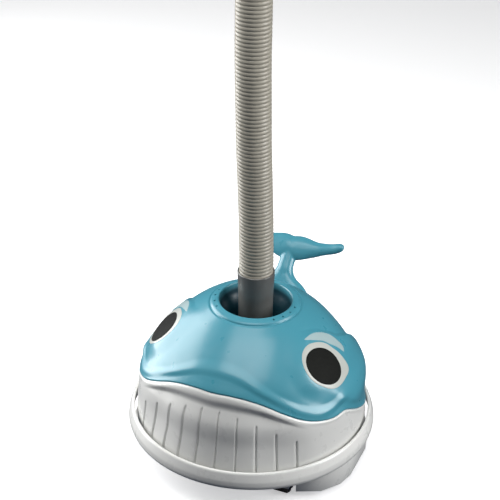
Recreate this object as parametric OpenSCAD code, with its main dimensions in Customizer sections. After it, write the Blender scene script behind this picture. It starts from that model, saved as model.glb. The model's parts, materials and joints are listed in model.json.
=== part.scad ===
// Pool cleaner with a whale-shaped shell: a suction-driven walking cleaner on two rocking pods.
// The nose faces -Y, +X is the animal's left, +Z is up. The origin is on the floor under the
// centre of the bumper ring.

/* [Shell] */
// Radius of the shell at its foot
dome_r = 165; // [132:1:200]
// Height of the shell from its foot to the crest of the top opening
dome_h = 163.6; // [132:0.1:200]
// Height of the shell's foot above the floor
seam_z = 72; // [64:1:90]
// Wall of the shell and of the jaw
wall = 3; // [2:0.1:4]
// Distance from the ring's centre back to the axis of the top opening
opening_back = 10; // [0:1:16]
// Radius of the crest around the top opening
rim_r = 61.8; // [54:0.1:72]
// Radius of the inner edge of the top opening
opening_r = 51.7; // [46:0.1:60]
// Depth of the funnel inside the top opening
funnel_h = 50; // [40:1:58]

/* [Jaw and bumper ring] */
// Step back of the grille below the lip
grille_recess = 6; // [2:0.5:8]
// Width of one grille groove
groove_w = 3.5; // [2:0.1:5]
// Depth of one grille groove
groove_depth = 1.6; // [0.8:0.1:1.8]
// Angle between grille grooves
groove_step = 10; // [8:0.05:10.5]
// How far the bumper ring stands out from the shell's foot
ring_out = 13; // [9:0.5:18]
// Height of the bumper ring's band
ring_h = 24; // [18:0.5:30]
// Gap between the jaw and the bumper ring
ring_gap = 3.5; // [1:0.1:5]

/* [Swivel and hose] */
// Outside radius of the swivel cuff at its top
cuff_r = 26; // [25:0.1:28]
// Outside radius of the swivel tube
tube_r = 24; // [23.8:0.1:24.8]
// Bore radius of the swivel tube
tube_bore = 20; // [16:0.1:21]
// Height of the cuff's top above the crest of the opening
cuff_rise = 46.9; // [36:0.1:60]
// Outside radius of the hose
hose_r = 22.35; // [20:0.05:22.4]
// Bore radius of the cuff on the hose's far end
end_bore = 19.3; // [19:0.05:19.6]
// Length of the cuff on the hose's far end
end_cuff_h = 52; // [46:1:80]

/* [Drive] */
// Radius of the turbine over its blades
turbine_r = 30; // [24:0.5:32]
// Width of the turbine
turbine_w = 50; // [40:1:52]
// Number of turbine blades
blades = 6; // [5:1:8]
// Radius of the turbine shaft and countershaft
shaft_r = 3; // [2.5:0.1:3.5]
// Offset of each eccentric
throw = 2.5; // [1.5:0.1:3]
// Module of the drive gears
drive_mod = 1.25; // [1:0.05:1.3]
// Teeth on the turbine pinion
pinion_teeth = 16; // [14:1:18]
// Teeth on the drive gear
drive_teeth = 40; // [36:1:42]
// Module of the steering gears
steer_mod = 1.5; // [1.3:0.05:1.5]
// Teeth on the steering gear
steer_teeth = 16; // [14:1:18]
// Teeth on the swivel's ring gear
swivel_teeth = 44; // [42:1:48]

/* [Pods] */
// Half the length of a pod, front to back
pod_half = 98; // [86:1:100]
// Width of a shoe
shoe_w = 22; // [16:1:26]
// Height of a shoe
shoe_h = 10; // [6:0.5:12]
// Width of the front and rear flaps
flap_w = 116; // [90:1:120]

/* [Hidden] */
$fn = 48;
fit = 0.05;                       // radial clearance of a running fit
gap = 0.3;                        // end clearance of the retaining ring
seam_gap = 0.1;                   // clearance between the shell's edge and the jaw
columns = 72;                     // columns of facets around the shell and the jaw
TEAL = "#4796a6";
WHITE = "#e2e1db";
GREY = "#8d8a86";
DARK = "#2a2a2a";

// Heights
crest_z = seam_z + dome_h;
rim_foot_z = crest_z - 5;
dome_rise = rim_foot_z - seam_z;
funnel_z = crest_z - funnel_h;
ring_low = seam_z - ring_h;
pan_z = ring_low + 2;
pan_t = 3;
pan_top = pan_z + pan_t;
turbine_z = pan_top + turbine_r + 9;
pivot_z = turbine_z + 44;
bridge_z = funnel_z - 17.6;
bridge_t = 4;
gear_z = bridge_z - 10;
cuff_top = crest_z + cuff_rise;

// Places in plan
rim_foot_r = rim_r + 4.2;
ring_in = dome_r + ring_gap;
ring_r = dome_r + ring_out;
pan_r = dome_r - wall - 4;
axis_y = opening_back;            // the swivel and the turbine share this place
housing_r = turbine_r + 8;
housing_x = turbine_w / 2 + 8;
bracket_x = 62;
bracket_t = 5;
frame_x = bracket_x + bracket_t + 8;
frame_t = 6;
pinion_x = 42;
gear_t = 8;
drive_centre = drive_mod * (pinion_teeth + drive_teeth) / 2;
steer_centre = steer_mod * (steer_teeth + swivel_teeth) / 2;
pin_r = 3;
rod_r = 2;
screw_r = 1.8;
screw_ring = pan_r - 6;
screw_angles = [0, 60, 120, 150, 210, 240, 300];
flap_hinge = 76;                  // flap hinges lie this far before and behind the swivel axis
flap_z = pan_z - 4;
skirt_inner = 109;                // a pod's skirt starts this far from the centre plane
foot_x = 76;
web_top = ring_low - 16;          // top of the plate inside each pod
pod_x = dome_r + 2;               // outer side of a pod's skirt

// Outlines, each a list of [position, value] joined by a smooth curve.
// Shell radius from its foot (0) to the rim's foot (1): 1 is the foot radius, 0 the rim's.
dome_outline = [
    [0, 1], [0.16, 0.98], [0.35, 0.944], [0.46, 0.865], [0.56, 0.765], [0.66, 0.66], [0.76, 0.52],
    [0.86, 0.345], [0.94, 0.17], [1, 0]
];
// Height of the shell's lower edge over its foot, by angle from the nose
lip_outline = [
    [0, 98], [10, 98], [20, 95], [30, 88], [40, 76.5], [50, 64.5], [60, 56], [68, 52], [76, 51.5],
    [84, 40], [92, 28], [100, 18], [112, 7], [126, 4], [180, 4]
];
// Height of the smile line over the lower edge, by angle from the nose
smile_outline = [[0, 24], [15, 21], [30, 15], [45, 12], [58, 11], [66, 14], [74, 19], [82, 27], [180, 27]];

// The eyes: their place on the shell, and their outlines by angle around the eye
eye_angle = 72.6;
eye_up = 112.8;
pupil_long = 30.4;                // half the length and half the width of the pupil, and its turn
pupil_short = 23.7;
pupil_turn = 140;
meridian = 1.31;                  // length along the shell for each unit of height at the eye
white_outline = [
    [-180, 31], [-160, 29], [-138, 27.5], [-120, 28.7], [-96, 32.5], [-72, 36.5], [-60, 39], [-48, 42.8],
    [-38, 48.5], [-30, 51], [-23, 48.5], [-12, 43], [0, 38.5], [12, 34.5], [24, 32], [36, 31], [60, 30.6],
    [84, 31.6], [108, 34.5], [132, 35.5], [156, 34], [180, 31]
];
// The brow's two edges, by direction from the eye
brow_start = -4;
brow_end = 100;
brow_inner = [
    [-4, 49.5], [0, 47], [12, 40.5], [24, 35.7], [36, 33.2], [60, 32.6], [72, 33], [84, 34.6], [96, 37.8], [100, 39]
];
brow_outer = [[-4, 53], [0, 57], [12, 53], [24, 49.7], [36, 46.8], [48, 44.5], [60, 43], [84, 41.8], [100, 40.8]];
// The crease behind each eye and hip: its distance from the eye and how soft it is, by direction
crease = [
    [-180, 60], [-120, 60], [-95, 68], [-70, 105], [-45, 185], [-22, 185], [-15, 150], [-9, 121], [-3, 97],
    [4, 77], [12, 64.5], [24, 56.5], [36, 51], [48, 48], [60, 47], [72, 47], [84, 47.6], [96, 50],
    [110, 56], [140, 60], [180, 60]
];
crease_spread = [
    [-180, 34], [-95, 34], [-60, 40], [-25, 20], [-12, 10], [0, 8], [12, 6], [84, 6], [96, 10], [110, 24],
    [140, 34], [180, 34]
];

// The hose's route, from inside the cuff to its far end, and the cuff on it
hose_route = [
    [0, 10, 247], [0, 10, 275], [0, 10, 300], [-0.5, 9.5, 330], [-1, 9, 360], [-2, 8.5, 390],
    [-3, 8, 420], [-4, 7, 450], [-5, 6.5, 480], [-5.5, 6, 510], [-6, 5.5, 540], [-6.5, 5, 570],
    [-7, 5, 600], [-7, 5, 630], [-7, 5, 660], [-7, 5, 690], [-7, 5, 714]
];
hose_end = hose_route[len(hose_route) - 1];

function clamp(v, lo, hi) = min(max(v, lo), hi);
function smooth(t) = let (c = clamp(t, 0, 1)) c * c * (3 - 2 * c);
function bell(t) = 1 - smooth(abs(t));

// Value of an outline at x, on a smooth curve through its points
function rise(o, i, j) = (o[j][1] - o[i][1]) / (o[j][0] - o[i][0]);
function slope(o, i) = rise(o, max(i - 1, 0), min(i + 1, len(o) - 1));
function span(o, x, i = 0) = i >= len(o) - 2 || x < o[i + 1][0] ? i : span(o, x, i + 1);
function along(o, x) =
    let (i = span(o, x), h = o[i + 1][0] - o[i][0], t = clamp((x - o[i][0]) / h, 0, 1))
    o[i][1] + (o[i + 1][1] - o[i][1]) * t * t * (3 - 2 * t)
    + h * t * (1 - t) * (slope(o, i) * (1 - t) - slope(o, i + 1) * t);

// The dome: its radius, its axis, and a point on its skin at an angle from the nose
function dome_radius(z) =
    rim_foot_r + (dome_r - rim_foot_r) * along(dome_outline, clamp((z - seam_z) / dome_rise, 0, 1));
function axis_shift(z) = axis_y * smooth((z - seam_z - 0.62 * dome_rise) / (0.38 * dome_rise));
function around(a, r, z) = [r * sin(a), axis_shift(z) - r * cos(a), z];
function fold(a) = abs(((a + 180) % 360 + 360) % 360 - 180);
function lip_z(a) = seam_z + along(lip_outline, fold(a)) * dome_h / 163.6;

// Distance and direction of a place on the skin from the nearer eye, direction 0 towards the tail
function eye_z() = seam_z + eye_up * dome_h / 163.6;
function eye_side(a, z) = (fold(a) - eye_angle) * PI / 180 * dome_radius(z);
function eye_rise(z) = (z - eye_z()) * meridian;
function eye_distance(a, z) = norm([eye_side(a, z), eye_rise(z)]);
function eye_direction(a, z) = atan2(eye_rise(z), eye_side(a, z));

// Relief on the shell: rolled lip, smile line, and a cheek round each eye that runs back over the hip
function lip_relief(a, z) = 1.2 * bell((z - lip_z(a)) / 12);
function smile_relief(a, z) =
    2 * bell((z - lip_z(a) - along(smile_outline, fold(a))) / 9) * smooth((84 - fold(a)) / 10);
function cheek_relief(a, z) =
    let (dir = eye_direction(a, z), inside = (along(crease, dir) - eye_distance(a, z)) / along(crease_spread, dir))
    (4.6 + 2.4 * smooth((fold(a) - 98) / 22)) * smooth(inside) * smooth((162 - fold(a)) / 24)
    * smooth((z - seam_z - 30 * dome_h / 163.6) / 44);
function relief(a, z) = lip_relief(a, z) + smile_relief(a, z) + cheek_relief(a, z);
function skin(a, z, out = 0) = around(a, dome_radius(z) + relief(a, z) + out, z);

// The jaw's radius, with the grille set back under its lip
function recess(a, z) =
    grille_recess * smooth((52 - fold(a)) / 12) * smooth((lip_z(a) - 8 - z) / 10)
    * smooth((z - seam_z + 12) / 10);
function jaw_radius(a, z) = dome_radius(z) - recess(a, z);

// A point near an eye, from its distance and direction on the skin
function eye_point(d, dir, out) =
    let (z = eye_z() + d * sin(dir) / meridian)
    skin(eye_angle + d * cos(dir) / dome_radius(z) * 180 / PI, z, out);

// A closed solid from rings of points that run round a hole
module ring_solid(rings) {
    m = len(rings);
    n = len(rings[0]);
    function at(i, j) = (i % m) * n + j % n;
    polyhedron(
        points = [for (ring = rings) each ring],
        faces = [
            for (i = [0 : m - 1], j = [0 : n - 1])
                each [[at(i, j), at(i + 1, j), at(i + 1, j + 1)], [at(i, j), at(i + 1, j + 1), at(i, j + 1)]]
        ]
    );
}

// A closed solid from rings of points with both ends capped
module capped_solid(rings) {
    m = len(rings);
    n = len(rings[0]);
    function at(i, j) = i * n + j % n;
    polyhedron(
        points = [for (ring = rings) each ring],
        faces = [
            [for (j = [0 : n - 1]) j],
            for (i = [0 : m - 2], j = [0 : n - 1])
                each [[at(i, j), at(i + 1, j), at(i + 1, j + 1)], [at(i, j), at(i + 1, j + 1), at(i, j + 1)]],
            [for (j = [n - 1 : -1 : 0]) at(m - 1, j)]
        ]
    );
}

module tube(r, bore, h) {
    difference() {
        cylinder(r = r, h = h);
        translate([0, 0, -1]) cylinder(r = bore, h = h + 2);
    }
}

// Along X, from x = 0
module along_x() {
    rotate([90, 0, 90]) children();
}

module at_turbine(x = 0) {
    translate([x, axis_y, turbine_z]) along_x() children();
}

// A flat bar between two points
module bar(p, q, w) {
    d = q - p;
    translate(p) rotate(atan2(d[1], d[0])) translate([0, -w / 2]) square([norm(d), w]);
}

// An involute gear's outline, with 0.12 of a module of backlash
function involute(base, t) = [base * (cos(t) + t * PI / 180 * sin(t)), base * (sin(t) - t * PI / 180 * cos(t))];
function unwind(base, r) = r <= base ? 0 : sqrt(pow(r / base, 2) - 1) * 180 / PI;
function turned(p, a) = [p[0] * cos(a) - p[1] * sin(a), p[0] * sin(a) + p[1] * cos(a)];
function polar(p) = atan2(p[1], p[0]);
function gear_outline(teeth, m) =
    let (
        pitch = m * teeth / 2,
        base = pitch * cos(20),
        tip = pitch + 0.9 * m,
        root = pitch - 1.2 * m,
        half = 90 / teeth - 0.06 * m / pitch * 180 / PI + polar(involute(base, unwind(base, pitch))),
        flank = [for (s = [0 : 4]) let (r = max(base, root) + (tip - max(base, root)) * s / 4)
            turned(involute(base, unwind(base, r)), -half)],
        side = concat([turned([root, 0], -half)], flank)
    )
    [for (k = [0 : teeth - 1], p = concat(side, [for (s = [5 : -1 : 0]) [side[s][0], -side[s][1]]]))
        turned(p, 360 * k / teeth)];

module gear(teeth, m, h, bore) {
    difference() {
        linear_extrude(h) polygon(gear_outline(teeth, m));
        translate([0, 0, -1]) cylinder(r = bore, h = h + 2);
    }
}

// ---- Shell, tail, eyes, jaw and ring ----

module dome_skin() {
    rows = 22;
    function row_z(a, k, low) = low + (rim_foot_z + 1 - low) * k / rows;
    ring_solid(concat(
        [for (k = [0 : rows]) [for (c = [0 : columns - 1])
            let (a = c * 360 / columns) skin(a, row_z(a, k, lip_z(a)))]],
        [for (k = [rows : -2 : 0]) [for (c = [0 : columns - 1])
            let (a = c * 360 / columns, z = row_z(a, k, lip_z(a)))
            around(a, dome_radius(z) - wall, z - 0.2 * wall * k / rows)]]
    ));
}

module rim_and_funnel() {
    translate([0, axis_y, 0]) rotate_extrude($fn = 72) polygon([
        [rim_foot_r - 1, rim_foot_z + 1.2], [rim_r + 1, rim_foot_z + 2.2], [rim_r, crest_z - 1],
        [rim_r - 2, crest_z], [opening_r + 3, crest_z - 0.6], [opening_r, crest_z - 2.5],
        [opening_r - 3, crest_z - 12], [tube_r + 16, funnel_z + 22], [tube_r + 10, funnel_z + wall],
        [tube_r + 7, funnel_z + wall], [tube_r + 7, funnel_z], [tube_r + 12.5, funnel_z],
        [tube_r + 19, funnel_z + 20], [opening_r, crest_z - 14], [rim_r - 3, rim_foot_z - 2.5],
        [rim_foot_r - 3, rim_foot_z - 2]
    ]);
}

module rim_holes() {
    for (side = [-1, 1], k = [0 : 3])
        translate([0, axis_y, 0]) rotate(side * (50 + 10 * k) - 22)
            translate([0, -(opening_r + rim_r) / 2, crest_z - 6]) cylinder(r = 1.2, h = 12, $fn = 16);
}

module whale_shell() {
    color(TEAL) difference() {
        union() {
            dome_skin();
            rim_and_funnel();
        }
        rim_holes();
    }
}

// Tail: sections of an ellipse along a stalk and along each fluke, placed from the shell's back
tail_y = rim_foot_r + axis_y;
tail_z = seam_z + 0.87 * dome_h;
// Each section of the stalk: back, up, half width, half depth
stalk = [
    [16, -28, 60, 14], [22, -19, 50, 14], [30, -10, 40.5, 13], [35, -4, 31, 12], [38, 1, 21.5, 11],
    [42, 6.7, 15.2, 10.2], [46, 12.7, 12.2, 9.6], [52, 18.7, 11.6, 9.2], [60, 26.7, 11, 9], [66, 33.7, 9, 8.5]
];
// Each section of a fluke: out, back, up, half chord, half thickness
fluke = [
    [-4, 69, 35.7, 16, 9.5], [6, 69.5, 35.7, 18.5, 10], [16, 70.5, 35.7, 18.5, 9.5], [28, 72, 36.2, 15, 8.5],
    [39, 73, 37.2, 11.7, 7.6], [51, 74, 40.2, 9.4, 6.8], [62, 74, 43.2, 8.4, 6.4], [70, 74, 46.2, 8, 6.2],
    [76, 74, 48.2, 6.4, 5.4], [79.4, 74, 49.2, 3.6, 3.2]
];
fluke_lean = 42;
function stalk_ring(s) =
    [for (j = [0 : 23]) [s[2] * cos(j * 15), tail_y + s[0] + 0.85 * s[3] * sin(j * 15), tail_z + s[1] - 0.5 * s[3] * sin(j * 15)]];
function fluke_ring(s) =
    [for (j = [0 : 23]) let (p = turned([s[3] * cos(j * 15), s[4] * sin(j * 15)], fluke_lean))
        [s[0], tail_y + s[1] + p[0], tail_z + s[2] + p[1]]];

module tail() {
    color(TEAL) union() {
        capped_solid([for (s = stalk) stalk_ring(s)]);
        for (side = [0, 1]) mirror([side, 0, 0])
            capped_solid([for (s = fluke) fluke_ring(s)]);
    }
}

// A patch that lies on the shell around the left eye, out to an outline
module eye_patch(outline, out, n = 48) {
    function ring(f, o) = [for (j = [0 : n - 1]) let (dir = j * 360 / n - 180) eye_point(f * along(outline, dir), dir, o)];
    capped_solid([ring(0.05, -1.5), ring(0.5, -1.5), ring(1, -1.5), ring(1, out - 0.2), ring(0.98, out),
        ring(0.75, out), ring(0.5, out), ring(0.25, out), ring(0.05, out)]);
}

module on_side(side) {
    mirror([side < 0 ? 1 : 0, 0, 0]) children();
}

module eye_white(side) {
    color("white") on_side(side) eye_patch(white_outline, 0.5);
}

module eye_pupil(side) {
    outline = [for (dir = [-180 : 15 : 180])
        [dir, 1 / norm([cos(dir - pupil_turn) / pupil_long, sin(dir - pupil_turn) / pupil_short])]];
    color(DARK) on_side(side) eye_patch(outline, 0.9);
}

module brow(side) {
    steps = 16;
    function section(t) =
        let (dir = brow_start + (brow_end - brow_start) * t, low = along(brow_inner, dir), high = along(brow_outer, dir))
        [eye_point(low, dir, 0.4), eye_point(low, dir, -1.5), eye_point(high, dir, -1.5), eye_point(high, dir, 0.4),
         eye_point((low + 2 * high) / 3, dir, 0.8), eye_point((2 * low + high) / 3, dir, 0.8)];
    color("#a9c8cc") on_side(side) capped_solid([for (k = [steps : -1 : 0]) section(k / steps)]);
}

module jaw_skin() {
    rows = 14;
    low = pan_top;
    function row_z(a, k) = low + (lip_z(a) - seam_gap - low) * k / rows;
    ring_solid(concat(
        [for (k = [0 : rows]) [for (c = [0 : columns - 1])
            let (a = c * 360 / columns, z = row_z(a, k)) around(a, jaw_radius(a, z), z)]],
        [for (k = [rows : -2 : 0]) [for (c = [0 : columns - 1])
            let (a = c * 360 / columns, z = row_z(a, k)) around(a, jaw_radius(a, z) - wall, z)]]
    ));
}

// One groove of the grille, as deep everywhere as the wall's own curve
module groove(a, top) {
    wide = groove_w / (dome_r - grille_recess) * 180 / PI;
    zs = [for (k = [0 : 8]) seam_z - 3 + (top + 3) * k / 8];
    rotate(a - 90 - wide / 2) rotate_extrude(angle = wide) polygon(concat(
        [for (z = zs) [jaw_radius(a, z) - groove_depth, z]],
        [for (k = [8 : -1 : 0]) [jaw_radius(a, zs[k]) + 4, zs[k]]]
    ));
}

module jaw() {
    tops = [76, 71, 63, 51, 38];
    color(WHITE) difference() {
        union() {
            jaw_skin();
            jaw_bosses();
        }
        for (side = [-1, 1], k = [0 : 4])
            groove(side * groove_step * (k + 0.5), tops[k] * dome_h / 163.6);
    }
}

// Bosses inside the jaw that take the pan's screws, each on a rib that reaches into the jaw's wall
module jaw_bosses() {
    rib = dome_r - 0.5 * wall - screw_ring;
    for (a = screw_angles) rotate(a) translate([0, -screw_ring, pan_top]) difference() {
        union() {
            cylinder(r = 4.5, h = 14);
            translate([-1.5, -rib, 0]) cube([3, rib, 6]);
        }
        translate([0, 0, -1]) cylinder(r = screw_r, h = 13);
    }
}

module bumper_ring() {
    color(WHITE) union() {
        rotate_extrude($fn = 96) polygon([
            [ring_in, seam_z - 0.8], [ring_in + 0.8, seam_z], [ring_in + 3, seam_z - 0.2],
            [ring_r - 2.5, seam_z - 5], [ring_r, seam_z - 12], [ring_r - 1, ring_low + 4],
            [ring_r - 4, ring_low], [ring_r - 6, ring_low], [ring_in + 2, seam_z - 8]
        ]);
        for (a = [45 : 90 : 315])
            rotate(a) translate([pan_r - 8, -6, ring_low]) cube([ring_r - 4 - pan_r + 8, 12, pan_z - ring_low]);
    }
}

// ---- Base and fixed inner pieces ----

module base_pan() {
    color(WHITE) difference() {
        union() {
            translate([0, 0, pan_z]) cylinder(r = pan_r, h = pan_t, $fn = 96);
            for (side = [-1, 1], end = [-1, 1])
                translate([side * (flap_w / 2 + 4) - 2, axis_y + end * flap_hinge - 5, flap_z - 5])
                    cube([4, 10, pan_z - flap_z + 6]);
        }
        for (a = screw_angles)
            rotate(a) translate([0, -screw_ring, pan_z - 1]) cylinder(r = screw_r, h = pan_t + 2);
        translate([-turbine_w / 2, axis_y - 20, pan_z - 1]) cube([turbine_w, 40, pan_t + 2]);
        for (side = [-1, 1])
            translate([side * (frame_x + frame_t / 2) - 10, axis_y - 84, pan_z - 1]) cube([20, 168, pan_t + 2]);
        for (side = [-1, 1], end = [-1, 1])
            translate([side * (flap_w / 2 + 4) - 3, axis_y + end * flap_hinge, flap_z]) along_x()
                cylinder(r = rod_r, h = 6);
    }
}

module intake_throat() {
    color(GREY) difference() {
        union() {
            translate([-turbine_w / 2 - 3, axis_y - 23, 20]) cube([turbine_w + 6, 46, pan_z - 20]);
            translate([-turbine_w / 2 - 9, axis_y - 29, 20]) cube([turbine_w + 18, 58, 3]);
        }
        translate([-turbine_w / 2, axis_y - 20, 19]) cube([turbine_w, 40, pan_z]);
    }
}

module turbine_housing() {
    cavity = turbine_w / 2 + 3;
    outlet_z = gear_z - 8;
    color(GREY) difference() {
        union() {
            at_turbine(-housing_x) cylinder(r = housing_r, h = 2 * housing_x);
            translate([-housing_x, axis_y - 26, pan_top]) cube([2 * housing_x, 52, turbine_z - pan_top]);
            translate([0, axis_y, turbine_z]) cylinder(r = tube_bore + 5, h = outlet_z - turbine_z);
        }
        at_turbine(-cavity) cylinder(r = turbine_r + 3, h = 2 * cavity);
        translate([-turbine_w / 2, axis_y - 20, pan_top - 1]) cube([turbine_w, 40, turbine_z - pan_top]);
        translate([0, axis_y, turbine_z]) cylinder(r = tube_bore + 1, h = outlet_z);
        translate([0, axis_y, outlet_z]) cylinder(r = tube_r + 2, h = housing_r + 20);
        at_turbine(-housing_x - 1) cylinder(r = 2 * shaft_r + 1, h = 2 * housing_x + 2);
    }
}

module bearing(side) {
    color("#c9a25a") at_turbine(side > 0 ? turbine_w / 2 + 3 : -housing_x)
        tube(2 * shaft_r + 1, shaft_r + fit, housing_x - turbine_w / 2 - 3);
}

module bridge() {
    color(GREY) difference() {
        union() {
            translate([0, axis_y, bridge_z]) cylinder(r = 62, h = bridge_t);
            translate([0, axis_y, bridge_z]) cylinder(r = tube_r + 10, h = 10);
            for (side = [-1, 1], end = [-1, 1])
                translate([side * 30, axis_y + end * 56, pan_top]) cylinder(r = 5, h = bridge_z - pan_top + 1);
        }
        translate([0, axis_y, bridge_z - 1]) cylinder(r = tube_r + 5, h = 12);
        translate([steer_centre, axis_y, bridge_z - 1]) cylinder(r = shaft_r + fit, h = bridge_t + 2);
    }
}

module swivel_bearing() {
    color("#e9e6da") translate([0, axis_y, bridge_z]) tube(tube_r + 5, tube_r + fit, 10);
}

module bracket(side) {
    x = side > 0 ? bracket_x : -bracket_x - bracket_t;
    color(GREY) difference() {
        translate([x, axis_y - 12, pan_top]) cube([bracket_t, side > 0 ? drive_centre + 22 : 24, pivot_z + 10 - pan_top]);
        translate([x - 1, axis_y + 12, turbine_z + 12]) cube([bracket_t + 2, 99, 99]);
        at_turbine(x - 1) cylinder(r = shaft_r + 2, h = bracket_t + 2);
        translate([x - 1, axis_y, pivot_z]) along_x() cylinder(r = pin_r, h = bracket_t + 2);
        if (side > 0)
            translate([x - 1, axis_y + drive_centre, turbine_z]) along_x() cylinder(r = shaft_r + fit, h = bracket_t + 2);
    }
}

module pivot_pin(side) {
    far = frame_x + frame_t + 4;
    color("silver") on_side(side) translate([bracket_x, axis_y, pivot_z]) along_x() union() {
        cylinder(r = pin_r, h = far - bracket_x);
        translate([0, 0, far - bracket_x]) cylinder(r = 2 * pin_r, h = 2);
    }
}

module flap_rod(end) {
    reach = flap_w / 2 + 7;
    color("silver") translate([-reach, axis_y + end * flap_hinge, flap_z]) along_x() cylinder(r = rod_r, h = 2 * reach);
}

module ballast() {
    color("#6f7478") translate([0, 0, pan_top]) intersection() {
        tube(pan_r - 12, pan_r - 30, 12);
        rotate(-90) translate([0, -45, 0]) cube([pan_r, 90, 12]);
    }
}

module pan_screws() {
    color("silver") for (a = screw_angles)
        rotate(a) translate([0, -screw_ring, pan_z - 2]) union() {
            cylinder(r = 3.5, h = 2);
            cylinder(r = screw_r, h = pan_t + 12);
        }
}

// ---- Moving inner pieces ----

module turbine() {
    color("#d9d9d2") at_turbine(-turbine_w / 2) difference() {
        union() {
            cylinder(r = 9, h = turbine_w);
            for (k = [0 : blades - 1]) rotate(k * 360 / blades)
                translate([8, -1.2, 0]) cube([turbine_r - 8.1, 2.4, turbine_w]);
        }
        translate([0, 0, -1]) cylinder(r = shaft_r, h = turbine_w + 2);
    }
}

module turbine_shaft() {
    reach = frame_x + frame_t + 4;
    color("silver") at_turbine(-reach) cylinder(r = shaft_r, h = 2 * reach);
}

module eccentric(side) {
    color("#d9d9d2") at_turbine(side > 0 ? frame_x - 1 : -frame_x - frame_t - 1) difference() {
        translate([side * throw, 0, 0]) cylinder(r = 8, h = frame_t + 2);
        translate([0, 0, -1]) cylinder(r = shaft_r, h = frame_t + 4);
    }
}

module pinion() {
    color("#d9d9d2") at_turbine(pinion_x) gear(pinion_teeth, drive_mod, gear_t, shaft_r);
}

module at_countershaft(x) {
    translate([x, axis_y + drive_centre, turbine_z]) along_x() children();
}

module drive_gear() {
    color("#d9d9d2") at_countershaft(pinion_x + 1) rotate(180 + 180 / drive_teeth)
        gear(drive_teeth, drive_mod, gear_t - 2, shaft_r);
}

module countershaft() {
    color("silver") at_countershaft(pinion_x - 4) cylinder(r = shaft_r, h = bracket_x + bracket_t + 3 - pinion_x + 4);
}

module step_finger() {
    color("#d9d9d2") at_countershaft(pinion_x + gear_t + 4) difference() {
        union() {
            cylinder(r = 8, h = 5);
            translate([0, -2.5, 0]) cube([22, 5, 5]);
        }
        translate([0, 0, -1]) cylinder(r = shaft_r, h = 7);
    }
}

module at_steering(z) {
    translate([steer_centre, axis_y, z]) children();
}

module steering_gear() {
    color("#d9d9d2") at_steering(gear_z + 0.5) rotate(180 + 180 / steer_teeth)
        gear(steer_teeth, steer_mod, 5, shaft_r);
}

module steering_shaft() {
    low = turbine_z + 20;
    color("silver") at_steering(low) cylinder(r = shaft_r, h = bridge_z + bridge_t + 4 - low);
}

module star_wheel() {
    color("#d9d9d2") at_steering(turbine_z + 20) difference() {
        union() {
            cylinder(r = 6, h = 5);
            for (k = [0 : 7]) rotate(45 * k) translate([5, -1.5, 0]) cube([6, 3, 5]);
        }
        translate([0, 0, -1]) cylinder(r = shaft_r, h = 7);
    }
}

module swivel_tube() {
    low = gear_z - 6;
    socket = hose_route[0][2];
    color(GREY) translate([0, axis_y, 0]) rotate_extrude($fn = 72) polygon([
        [tube_bore, low], [tube_r, low], [tube_r, crest_z - 30], [tube_r + 0.4, crest_z + 6], [cuff_r, cuff_top - 1],
        [cuff_r - 0.7, cuff_top], [hose_r + 1.6, cuff_top], [hose_r + 0.25, cuff_top - 5],
        [hose_r + 0.25, socket], [tube_bore, socket]
    ]);
}

module swivel_gear() {
    color("#d9d9d2") translate([0, axis_y, gear_z]) gear(swivel_teeth, steer_mod, 6, tube_r);
}

module retaining_ring() {
    color("silver") translate([0, axis_y, bridge_z + 10 + gap]) tube(tube_r + 4, tube_r, 2.4);
}

// ---- Pods ----

// Outline of the left pod seen from above
function pod_plan() =
    let (x = pod_x, h = pod_half)
    [[skirt_inner, -h], [x - 26, 15 - h], [x - 7, 40 - h], [x, 65 - h], [x, h - 65], [x - 7, h - 40],
     [x - 26, h - 15], [skirt_inner, h]];

module pod(side) {
    skirt_top = ring_low - 8;
    color(WHITE) on_side(side) union() {
        translate([0, 0, shoe_h]) linear_extrude(skirt_top - shoe_h) difference() {
            polygon(pod_plan());
            offset(delta = -3) polygon(concat([[0, -pod_half]], pod_plan(), [[0, pod_half]]));
        }
        translate([0, 0, web_top - 4]) linear_extrude(4) offset(delta = -1)
            polygon(concat([[foot_x - 5, 10 - pod_half]], pod_plan(), [[foot_x - 5, pod_half - 10]]));
        translate([foot_x, -pod_half, shoe_h]) cube([shoe_w, 2 * pod_half, 6]);
        for (end = [-1, 1])
            translate([foot_x, end * (pod_half - 20) - 8, shoe_h]) cube([shoe_w, 16, web_top - 2 - shoe_h]);
    }
}

module shoe(side) {
    grooves = 8;
    pitch = 2 * (pod_half - 14) / (grooves - 1);
    color(DARK) on_side(side) translate([foot_x, 0, 0]) difference() {
        rotate([90, 0, 90]) linear_extrude(shoe_w) polygon([
            [8 - pod_half, 0], [pod_half - 8, 0], [pod_half + 4, shoe_h - 4], [pod_half + 4, shoe_h],
            [-pod_half - 4, shoe_h], [-pod_half - 4, shoe_h - 4]
        ]);
        for (k = [0 : grooves - 1])
            translate([-1, 14 - pod_half + k * pitch - 1.5, -1]) cube([shoe_w + 2, 3, 3.5]);
    }
}

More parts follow.
